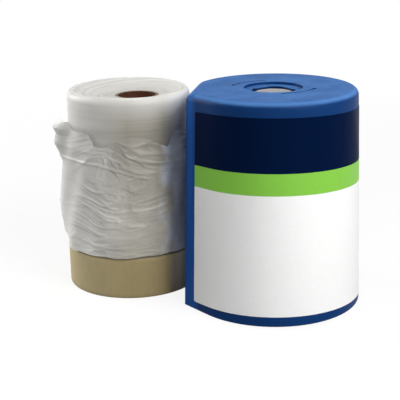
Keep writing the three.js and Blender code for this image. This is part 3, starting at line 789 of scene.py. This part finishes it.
def label():
    """A thin sheet on the front wall, with eased corners and its printed bands as separate finishes."""
    on_wall = np.linspace(LABEL_START, FRONT_NORMAL, 12)[:-1]
    angles = np.concatenate([on_wall, np.linspace(FRONT_NORMAL, LABEL_END, 240)])
    past = angles - FRONT_NORMAL
    reach = np.where(past < 0, 1 / np.cos(past), 1.0)
    along = FOOT_RADIUS * np.where(past < 0, np.tan(past), past)
    from_end = np.minimum(along - along[0], along[-1] - along)
    into_corner = np.maximum(LABEL_CORNER - from_end, 0)
    ease = LABEL_CORNER - np.sqrt(np.maximum(LABEL_CORNER ** 2 - into_corner ** 2, 0))
    sink = LABEL_SINK * (1 - np.cos(angles - LABEL_LEVEL_ANGLE))
    edges, counts = (LABEL_BOTTOM, GREEN_WHITE, NAVY_GREEN, LABEL_TOP), (28, 8, 14)
    bands = [np.linspace(low, high, count)[:-1] for low, high, count in zip(edges, edges[1:], counts)]
    heights = np.concatenate([*bands, [LABEL_TOP]])
    waves = SmoothNoise(11, 40, 16)
    shares = np.linspace(0, 0.999, len(angles))

    def surface(lift, wave):
        rows = []
        for height in heights:
            level = np.clip(height, LABEL_BOTTOM + ease, LABEL_TOP - ease) - sink
            uneven = wave * waves(shares, (height - LABEL_BOTTOM) / (LABEL_TOP - LABEL_BOTTOM))
            radius = (case_radius(level) + LABEL_GAP + lift + uneven) * reach
            rows.append(np.column_stack([polar(radius, angles), level]))
        return rows

    points = [*surface(LABEL_THICKNESS, LABEL_WAVE), *surface(0, 0)]
    count = len(heights) * len(angles)
    faces = faces_of_grid(len(heights), len(angles), close_columns=False)
    faces += [[count + i for i in face[::-1]] for face in faces]
    index = np.arange(count).reshape(len(heights), len(angles))
    edge = [int(i) for i in (*index[0], *index[1:, -1], *index[-1, -2::-1], *index[-2:0:-1, 0])]
    faces += [[a, count + a, count + b, b] for a, b in zip(edge, edge[1:] + edge[:1])]
    piece = make_piece("label_sheet", points, faces, [label_white, label_green, label_navy])
    row_bands = np.searchsorted(edges, (heights[:-1] + heights[1:]) / 2) - 1
    for face in piece.data.polygons:
        row = min(v % count for v in face.vertices) // len(angles)
        face.material_index = int(row_bands[min(row, len(row_bands) - 1)])
    finish_piece(piece, "case", ["front_label"])


# Turned pieces

def in_metres(profile, height=0.0):
    """A profile of (radius, height) in millimetres, over a height in metres."""
    return [(radius * MM, height + rise * MM) for radius, rise in profile]


def circle_row(centre, radius, height, sides, across=0.0):
    """Points round an axis, shifted along X; radius and height may differ from point to point."""
    plan = polar(radius, np.linspace(0, tau, sides, endpoint=False))
    return np.column_stack([plan + (centre[0] + across, centre[1]), np.broadcast_to(height, sides)])


def circle_rows(profile, centre, sides):
    """Rows of circles from (radius, height) or (radius, height, shift along X)."""
    return [circle_row(centre, radius, height, sides, *shift) for radius, height, *shift in profile]


def turned_piece(name, profile, materials, centre=(0, 0), sides=144, closed=True):
    """A turned solid: a ring when closed, and otherwise capped at both ends of its profile."""
    rows = circle_rows(profile, centre, sides)
    return make_grid(name, rows, materials, capped=not closed, close_rows=closed)


def base_cap():
    """The floor, its rim inside the case with a gate at the film slot, and the spindle's socket."""
    rim_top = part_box("base_cap")[1].z
    reach = CASE_WALL + RIM_GAP
    foot = case_radius(BASE_FLOOR) - reach
    brim = case_radius(rim_top) - reach
    rim = [(case_radius(0) - reach - BASE_EASE, 0), *rounded(foot, 0, BASE_EASE, 4, rise=-1)[::-1]]
    heights = np.linspace(BASE_FLOOR, rim_top - BASE_EASE, 4)
    rim += [(case_radius(height) - reach, height) for height in heights]
    rim += [(brim - BASE_EASE, rim_top), (brim - RIM_WALL, rim_top), (foot - RIM_WALL, BASE_FLOOR)]
    rows = outline.circles([(BASE_MIDDLE, 0), (BASE_DISC, 0)])
    rows += [outline.row(radius, height) for radius, height in rim]
    inner, eased_top = SOCKET_OUTER - SOCKET_WALL, SOCKET_TOP - BASE_EASE
    rows += outline.circles([
        (BASE_DISC, BASE_FLOOR), (SOCKET_OUTER, BASE_FLOOR), (SOCKET_OUTER, eased_top),
        (SOCKET_OUTER - BASE_EASE, SOCKET_TOP), (inner + BASE_EASE, SOCKET_TOP), (inner, eased_top),
        (inner, BASE_FLOOR), (BASE_MIDDLE, BASE_FLOOR)])
    piece = make_grid("base_moulding", rows, [blue], capped=True)
    low, high = -SLOT_NEAR_CORNER - GATE_MARGIN, -SLOT_FAR + GATE_MARGIN
    left, right = -FOOT_RADIUS - CUTTER_REACH, -FOOT_RADIUS / 2
    corners = [(left, low), (right, low), (right, high), (left, high)]
    gate = prism(corners, BASE_FLOOR, rim_top + CUTTER_MARGIN)
    gate.data.transform(TO_WALL)
    cut(piece, [gate])
    finish_piece(piece, "base", ["base_cap"])


def spindle():
    """A tube with a closed, dished top and a small moulding mark at its middle."""
    _, outer, foot, top = axis_of("spindle")
    inner, ceiling = outer - SPINDLE_WALL, top - SPINDLE_WALL
    profile = [(SPINDLE_MIDDLE, ceiling), (inner, ceiling), (inner, foot), (outer, foot),
               *rounded(outer, top, SPINDLE_ROUND, 6), (outer - SPINDLE_LAND, top),
               (outer - SPINDLE_LAND - SPINDLE_LAND_EASE, top - SPINDLE_DISH), *in_metres(MOULDING_MARK, top)]
    piece = turned_piece("spindle_post", profile, [grey], closed=False)
    finish_piece(piece, "base", ["spindle"])


def blade_pegs():
    """Staked pegs that hold the cutter blade on the wall behind the corner."""
    low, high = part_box("cutter_blade")
    middle = -SLOT_FAR + BLADE_WIDTH / 2
    tilt = Matrix.Rotation(-pi / 2 + atan(WALL_REACH * CASE_DRAFT / CASE_TOP), 4, "Y")
    for i, height in enumerate(np.linspace(low.z + PEG_END_MARGIN, high.z - PEG_END_MARGIN, PEG_COUNT)):
        piece = turned_piece(f"blade_peg_{i + 1}", in_metres(PEG_PROFILE), [blue], sides=24, closed=False)
        place = Matrix.Translation((-WALL_REACH * case_radius(height), middle, height))
        piece.data.transform(TO_WALL @ place @ tilt)
        finish_piece(piece, "case")


# Rolls

def card_tube(roll, body):
    """A card tube with eased edges, and fine grooves between its plies at the upper end."""
    centre, outer, foot, top = axis_of(f"{roll}_core")
    inner = outer - CORE_WALL
    profile = [(inner, foot + CORE_EASE), (inner + CORE_EASE, foot), (outer - CORE_EASE, foot),
               (outer, foot + CORE_EASE), (outer, top - CORE_EASE), (outer - CORE_EASE, top)]
    for radius in np.linspace(outer, inner, CORE_PLIES + 1)[1:-1]:
        profile += [(radius + PLY_GROOVE_HALF, top), (radius, top - PLY_GROOVE_DEPTH),
                    (radius - PLY_GROOVE_HALF, top)]
    profile += [(inner + CORE_EASE, top), (inner, top - CORE_EASE)]
    piece = turned_piece(f"{roll}_tube", profile, [card, card_end], centre)
    for face in piece.data.polygons:
        face.material_index = int(face.center.z > top - CORE_END_DEPTH)
    finish_piece(piece, body, [f"{roll}_core"], sharp=50)


def place_of_winding(node, core):
    """A wound node's centre, radius, foot and top, and how far along X its core is off its centre."""
    centre, outer, bottom, top = axis_of(node)
    return centre, outer, bottom, top, axis_of(core)[0][0] - centre[0]


def winding_piece(node, rows, end_row, body, materials, sharp):
    """A wound ring whose faces from one row on are its ends."""
    piece = make_grid(f"{node}_roll", rows, materials, close_rows=True)
    for face in piece.data.polygons[end_row * len(rows[0]):]:
        face.material_index = 1
    return finish_piece(piece, body, [node], sharp)


def tape_winding(node, core, body, side):
    """Crepe tape wound on the roll's lower end: a smooth side and closely wound ends."""
    centre, outer, bottom, top, shift = place_of_winding(node, core)
    sides, rings = 192, 60
    turns = np.linspace(0, 1, sides, endpoint=False)
    uneven = SmoothNoise(23, 3, rings)
    edge = outer - TAPE_EDGE_INSET
    heights = np.linspace(bottom + TAPE_EDGE_ROUND, top - TAPE_EDGE_ROUND, 12)
    profile = [(edge, bottom), *((outer, height) for height in heights), (edge, top)]
    rows = circle_rows(profile, centre, sides)
    for share in np.arange(1, rings) / rings:
        radius = edge + (WINDING_BORE - edge) * share
        level = top + TAPE_RINGS * (uneven(turns, share) - 1)
        rows.append(circle_row(centre, radius, level, sides, shift * share))
    rows += circle_rows([(WINDING_BORE, top, shift), (WINDING_BORE, bottom, shift)], centre, sides)
    winding_piece(node, rows, len(profile) - 1, body, [side, tape_edges], 50)


def film_winding(node, core, body, materials, seed, unrest, swell):
    """Folded film wound on the roll: a softly uneven side that swells above the loose turns, a rounded
    shoulder, and an end that sinks in rings."""
    centre, outer, bottom, top, shift = place_of_winding(node, core)
    sides = 288
    turns = np.linspace(0, 1, sides, endpoint=False)
    lines, broad = SmoothNoise(seed, 2, 70), SmoothNoise(seed + 1, 9, 9)
    rings, heave = SmoothNoise(seed + 2, 5, 46), SmoothNoise(seed + 3, 7, 9)
    outer += swell
    rows = []

    def add(radius, height, across=0.0):
        rows.append(circle_row(centre, radius, height, sides, across))

    for height in np.linspace(bottom, top - FILM_EDGE_DROP, 150):
        share = (height - bottom) / (top - bottom)
        inset = FILM_LINES * (1 - lines(turns, share)) + FILM_UNREST * unrest * (1 - broad(turns, share))
        add(outer - swell * (1 - smooth_step(*FILM_SWELL_HEIGHTS, height)) - inset, height)
    shoulder = outer - FILM_UNREST * unrest
    wobble = FILM_HEAVE * unrest * (1 + heave(turns, 0.0)) / 2
    for turn in np.linspace(0, pi / 2, 13)[1:]:
        ripple = FILM_RIPPLE * (1 - lines(turns, 1 - turn / 4))
        level = top - FILM_EDGE_DROP * (1 - sin(turn)) - wobble * sin(turn)
        add(shoulder - FILM_EDGE_ROUND * (1 - cos(turn)) - ripple, level)

    end_row = len(rows) - 6
    end_outer, end_bore = shoulder - FILM_EDGE_ROUND, WINDING_BORE + FILM_BORE_LIP
    for share in np.linspace(0, 1, 93)[1:]:
        radius = end_outer + (end_bore - end_outer) * share
        from_axis = np.linalg.norm(polar(radius, tau * turns) + (shift * share, 0), axis=1)
        sunk = np.clip((end_outer - from_axis) / (end_outer - WINDING_BORE - shift), 0, 1)
        fine = FILM_RINGS * (rings(turns, share) - 1) * smooth_step(0, 0.06, share)
        slow = FILM_HEAVE * unrest * (heave(turns, share) + 1) / 2
        add(radius, top - FILM_DISH * sunk + fine - slow, shift * share)
    for out, down in FILM_LIP:
        add(WINDING_BORE + out, top - FILM_DISH - down, shift)
    add(WINDING_BORE, bottom, shift)
    return winding_piece(node, rows, end_row, body, materials, 70)


# Sheets

def lead(name, node, roll, material):
    """The leading end of film or tape: round its roll, then straight to the film slot."""
    low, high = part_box(node)
    radius = axis_of(roll)[1] + LEAD_GAP
    outward, along_wall = WALL_REACH * TOP_RADIUS, SLOT_NEAR_CORNER - LEAD_EXIT_INSET
    reach = hypot(outward, along_wall)
    exit_angle = WALL_NORMAL + atan2(along_wall, outward)
    leave = exit_angle + acos(radius / reach)
    wrap = arc((0, 0), radius, leave + LEAD_WRAP, leave, 24)
    straight = wrap[-1] + (polar(reach, exit_angle) - wrap[-1]) * np.linspace(0, 1, 30)[1:, None]
    path = np.concatenate([wrap, straight])
    normal = side_of(path)
    ripple = SmoothNoise(41, 9, 14)
    shares = np.linspace(0, 0.98, len(path))
    rows = []
    for height in np.linspace(low.z, high.z, 60):
        share = (height - low.z) / (high.z - low.z)
        wave = LEAD_RIPPLE * ripple(shares, share) * smooth_step(0.4, 0.6, shares)
        rows.append(np.column_stack([path + normal * wave[:, None], np.full(len(path), height)]))
    piece = make_grid(name, rows, [material], close_columns=False)
    finish_piece(piece, "base", [node], sharp=80)


def from_turn(first, second):
    """The turn from one angle to another in degrees, from -180 to 180."""
    return (second - first + 180) % 360 - 180


def crests(seed, across, along):
    """Thin crests that run along the second coordinate, from -1 between them to 1 on them."""
    noise = SmoothNoise(seed, CREST_CELLS, CREST_CELLS)
    off_crest = np.abs(noise(across / CREST_CELLS, along / CREST_CELLS % 1))
    return 1 - 2 * np.minimum(CREST_WIDTH * off_crest, 1) ** 0.8


def loose_reach(angle, share):
    """The loose film's distance from the roll's side in its broad shape: belly, hem, main folds and flap."""
    height = (LOOSE_TOP - LOOSE_HEM) * share
    turn = np.radians(angle)
    folds = sum(depth * np.sin(count * turn + drift * share + start)
                for count, drift, start, depth in LOOSE_FOLDS)
    facing = np.maximum(np.cos(turn - radians(FACING_CASE)), 0)
    below = np.maximum(1 - share, 0)
    belly = LOOSE_BELLY * np.sin(pi * below) + LOOSE_HEM_SPREAD * below ** 2
    ease = np.minimum(1, LOOSE_EDGE_SLOPE * below + LOOSE_EDGE_SHARE)
    general = belly * (1 - FACING_SHARE * facing ** 2) + (LOOSE_STAND_OFF + folds) * ease
    from_flap = from_turn(FLAP_ANGLE, angle)
    flap = np.exp(-(from_flap / np.where(from_flap > 0, FLAP_FRONT_SPREAD, FLAP_SPREAD)) ** 2)
    return SEAT_GAP + general * (1 - flap) + np.interp(height, *zip(*FLAP_EDGE)) * flap


def loose_creases(angle, height, radius):
    """Fine creases: broken swags round high points, close level lines near the hem, and one long crease."""
    around = (angle - LOOSE_START) / LOOSE_SWEEP
    share = height / (LOOSE_TOP - LOOSE_HEM)
    wander, sway, patch = SmoothNoise(62, 7, 5), SmoothNoise(65, 9, 6), SmoothNoise(63, 8, 6)
    turn = SWAG_REPEATS / 2 * np.radians(angle - SWAG_ANGLE)
    across = radius / (SWAG_REPEATS / 2) * np.sin(turn) + SWAG_SWAY * sway(around, share)
    rise = height - SWAG_HEIGHT + SWAG_WANDER * wander(around, share)
    distance, direction = np.hypot(SWAG_FLATNESS * across, rise), np.arctan2(rise, across) + pi
    swags = sum(depth * crests(71 + i, distance / wave + 20, direction * breaks + 5 * i)
                for i, (wave, breaks, depth) in enumerate(SWAG_WAVES))
    hem = sum(depth * crests(81 + i, height / wave, around * HEM_BREAKS)
              for i, (wave, depth) in enumerate(HEM_WAVES))
    near_hem = 1 - smooth_step(*HEM_ZONE, height)
    lively = np.clip(0.75 + 0.6 * patch(around, share), 0.4, 1) * smooth_step(0.2, 1, distance / SWAG_HEART)
    quiet = 1 - QUIET_SHARE * np.exp(-(from_turn(QUIET_ANGLE, angle) / QUIET_SPREAD) ** 2)
    edge = 0.25 + 0.75 * smooth_step(0, 0.08, 1 - share)
    held = smooth_step(*LONG_CREASE_START, angle) * (1 - smooth_step(*LONG_CREASE_END, angle))
    off_line = (height - np.interp(angle, *zip(*LONG_CREASE))) / LONG_CREASE_WIDTH
    long_crease = LONG_CREASE_RISE * held * np.exp(-off_line ** 2)
    return (swags * (1 - 0.8 * near_hem) + hem * near_hem) * lively * quiet * edge + long_crease


def loose_turns():
    """The loose outer turns of film: one crumpled sheet whose free end stands off on the left."""
    centre, radius, _, _ = axis_of("refill_film")
    angles = np.linspace(LOOSE_START, LOOSE_START + LOOSE_SWEEP, LOOSE_COLUMNS)
    angle, share = np.meshgrid(angles, np.linspace(0, 1, LOOSE_ROWS))
    around = (angle - LOOSE_START) / LOOSE_SWEEP
    ragged = SmoothNoise(61, 34, 3)
    hem = LOOSE_RAGGED_HEM * ragged(around, 0.2) * (1 - share)
    edge = np.interp(angle, *zip(*LOOSE_TOP_EDGE)) + LOOSE_RAGGED_TOP * ragged(around, 0.9)
    height = hem + edge * share
    tucked = smooth_step(-10, 3, angle - LOOSE_START - 360)
    reach = loose_reach(angle, height / (LOOSE_TOP - LOOSE_HEM)) + SEAT_GAP
    reach = reach + loose_creases(angle, height, radius / MM) - TUCK_DEPTH * tucked
    plan = polar(radius + np.maximum(reach, LOOSE_LEAST) * MM, np.radians(angle)) + centre
    points = np.concatenate([plan, (LOOSE_HEM + height[..., None]) * MM], axis=-1)
    piece = make_grid("loose_film", points, [film_loose], close_columns=False)
    finish_piece(piece, "base", ["refill_loose_film"], sharp=180)


case_shell()
label()
base_cap()
spindle()
blade_pegs()
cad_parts["cutter_blade"].data.materials.clear()
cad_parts["cutter_blade"].data.materials.append(steel)

card_tube("loaded", "loaded_roll")
card_tube("refill", "base")
tape_winding("loaded_tape", "loaded_core", "loaded_roll", loaded_crepe)
tape_winding("refill_tape", "refill_core", "base", refill_crepe)
film_winding("loaded_film", "loaded_core", "loaded_roll", loaded_films, seed=71, unrest=0.4, swell=0)
film_roll = film_winding("refill_film", "refill_core", "base", refill_films, seed=81, unrest=1.0,
                         swell=FILM_SWELL)
lead("film_lead", "film_tail", "loaded_film", film_lead)
lead("tape_lead", "tape_tail", "loaded_tape", loaded_crepe)
loose_turns()


# Stage, lights and camera

def floor():
    """A pale floor that keeps the shadow near the object and turns white further off."""
    look = Finish("floor_white")
    nodes, links = look.tree.nodes, look.tree.links
    nodes.remove(look.shader)
    seen = look.seen()
    matt = look.node("BsdfDiffuse", {"Color": look.mix(seen, FLOOR_MATT, FLOOR_SEEN)}).outputs[0]
    glow = look.node("Emission", {"Color": (1, 1, 1, 1), "Strength": 1.0}).outputs[0]
    away = look.vector("LENGTH", look.place, output="Value")
    share = look.product(seen, look.spread(away, *FLOOR_FADE, FLOOR_GLOW, 1.0))
    both = look.node("MixShader", {0: share, 1: matt, 2: glow}).outputs[0]
    links.new(both, nodes["Material Output"].inputs["Surface"])
    sides = ((-1, -1), (1, -1), (1, 1), (-1, 1))
    corners = [(x * FLOOR_HALF, y * FLOOR_HALF, -FLOOR_DROP) for x, y in sides]
    make_piece("floor", corners, [(0, 1, 2, 3)], [look.material])


def surround():
    """A world that is white for the camera, gloss and glass, and lights the object faintly."""
    world = bpy.context.scene.world = bpy.data.worlds.new("surround")
    nodes = Nodes(world)
    nodes.tree.nodes.clear()
    strength = nodes.spread(nodes.seen(), 0, 1, AMBIENT, 1.0)
    light = nodes.node("Background", {"Color": (1, 1, 1, 1), "Strength": strength}).outputs[0]
    nodes.node("OutputWorld", {"Surface": light})


def area_light(name, azimuth, elevation, distance, size, power):
    """A square lamp aimed at the object, from an azimuth round +Z and an elevation."""
    lamp = bpy.data.lights.new(name, "AREA")
    lamp.size = size
    lamp.energy = power
    made = add_object(name, lamp)
    around, up = radians(azimuth), radians(elevation)
    away = Vector((*polar(cos(up), around), sin(up)))
    made.location = Vector(LAMP_TARGET) + away * distance
    made.rotation_euler = (-away).to_track_quat("-Z", "Y").to_euler()


def camera():
    lens = bpy.data.cameras.new("camera")
    lens.sensor_width = SENSOR_WIDTH
    lens.lens = FOCAL_PIXELS * SENSOR_WIDTH / PHOTO_PIXELS
    lens.clip_start = NEAR_CLIP
    made = bpy.context.scene.camera = add_object("camera", lens)
    turn = Matrix.Rotation(-CAMERA_YAW, 4, "Z") @ Matrix.Rotation(pi / 2 - CAMERA_PITCH_DOWN, 4, "X")
    made.matrix_world = Matrix.Translation(CAMERA_PLACE) @ turn @ Matrix.Rotation(CAMERA_ROLL, 4, "Z")


floor()
surround()
for lamp in LAMPS:
    area_light(*lamp)
camera()
bpy.context.scene.view_settings.view_transform = "Standard"
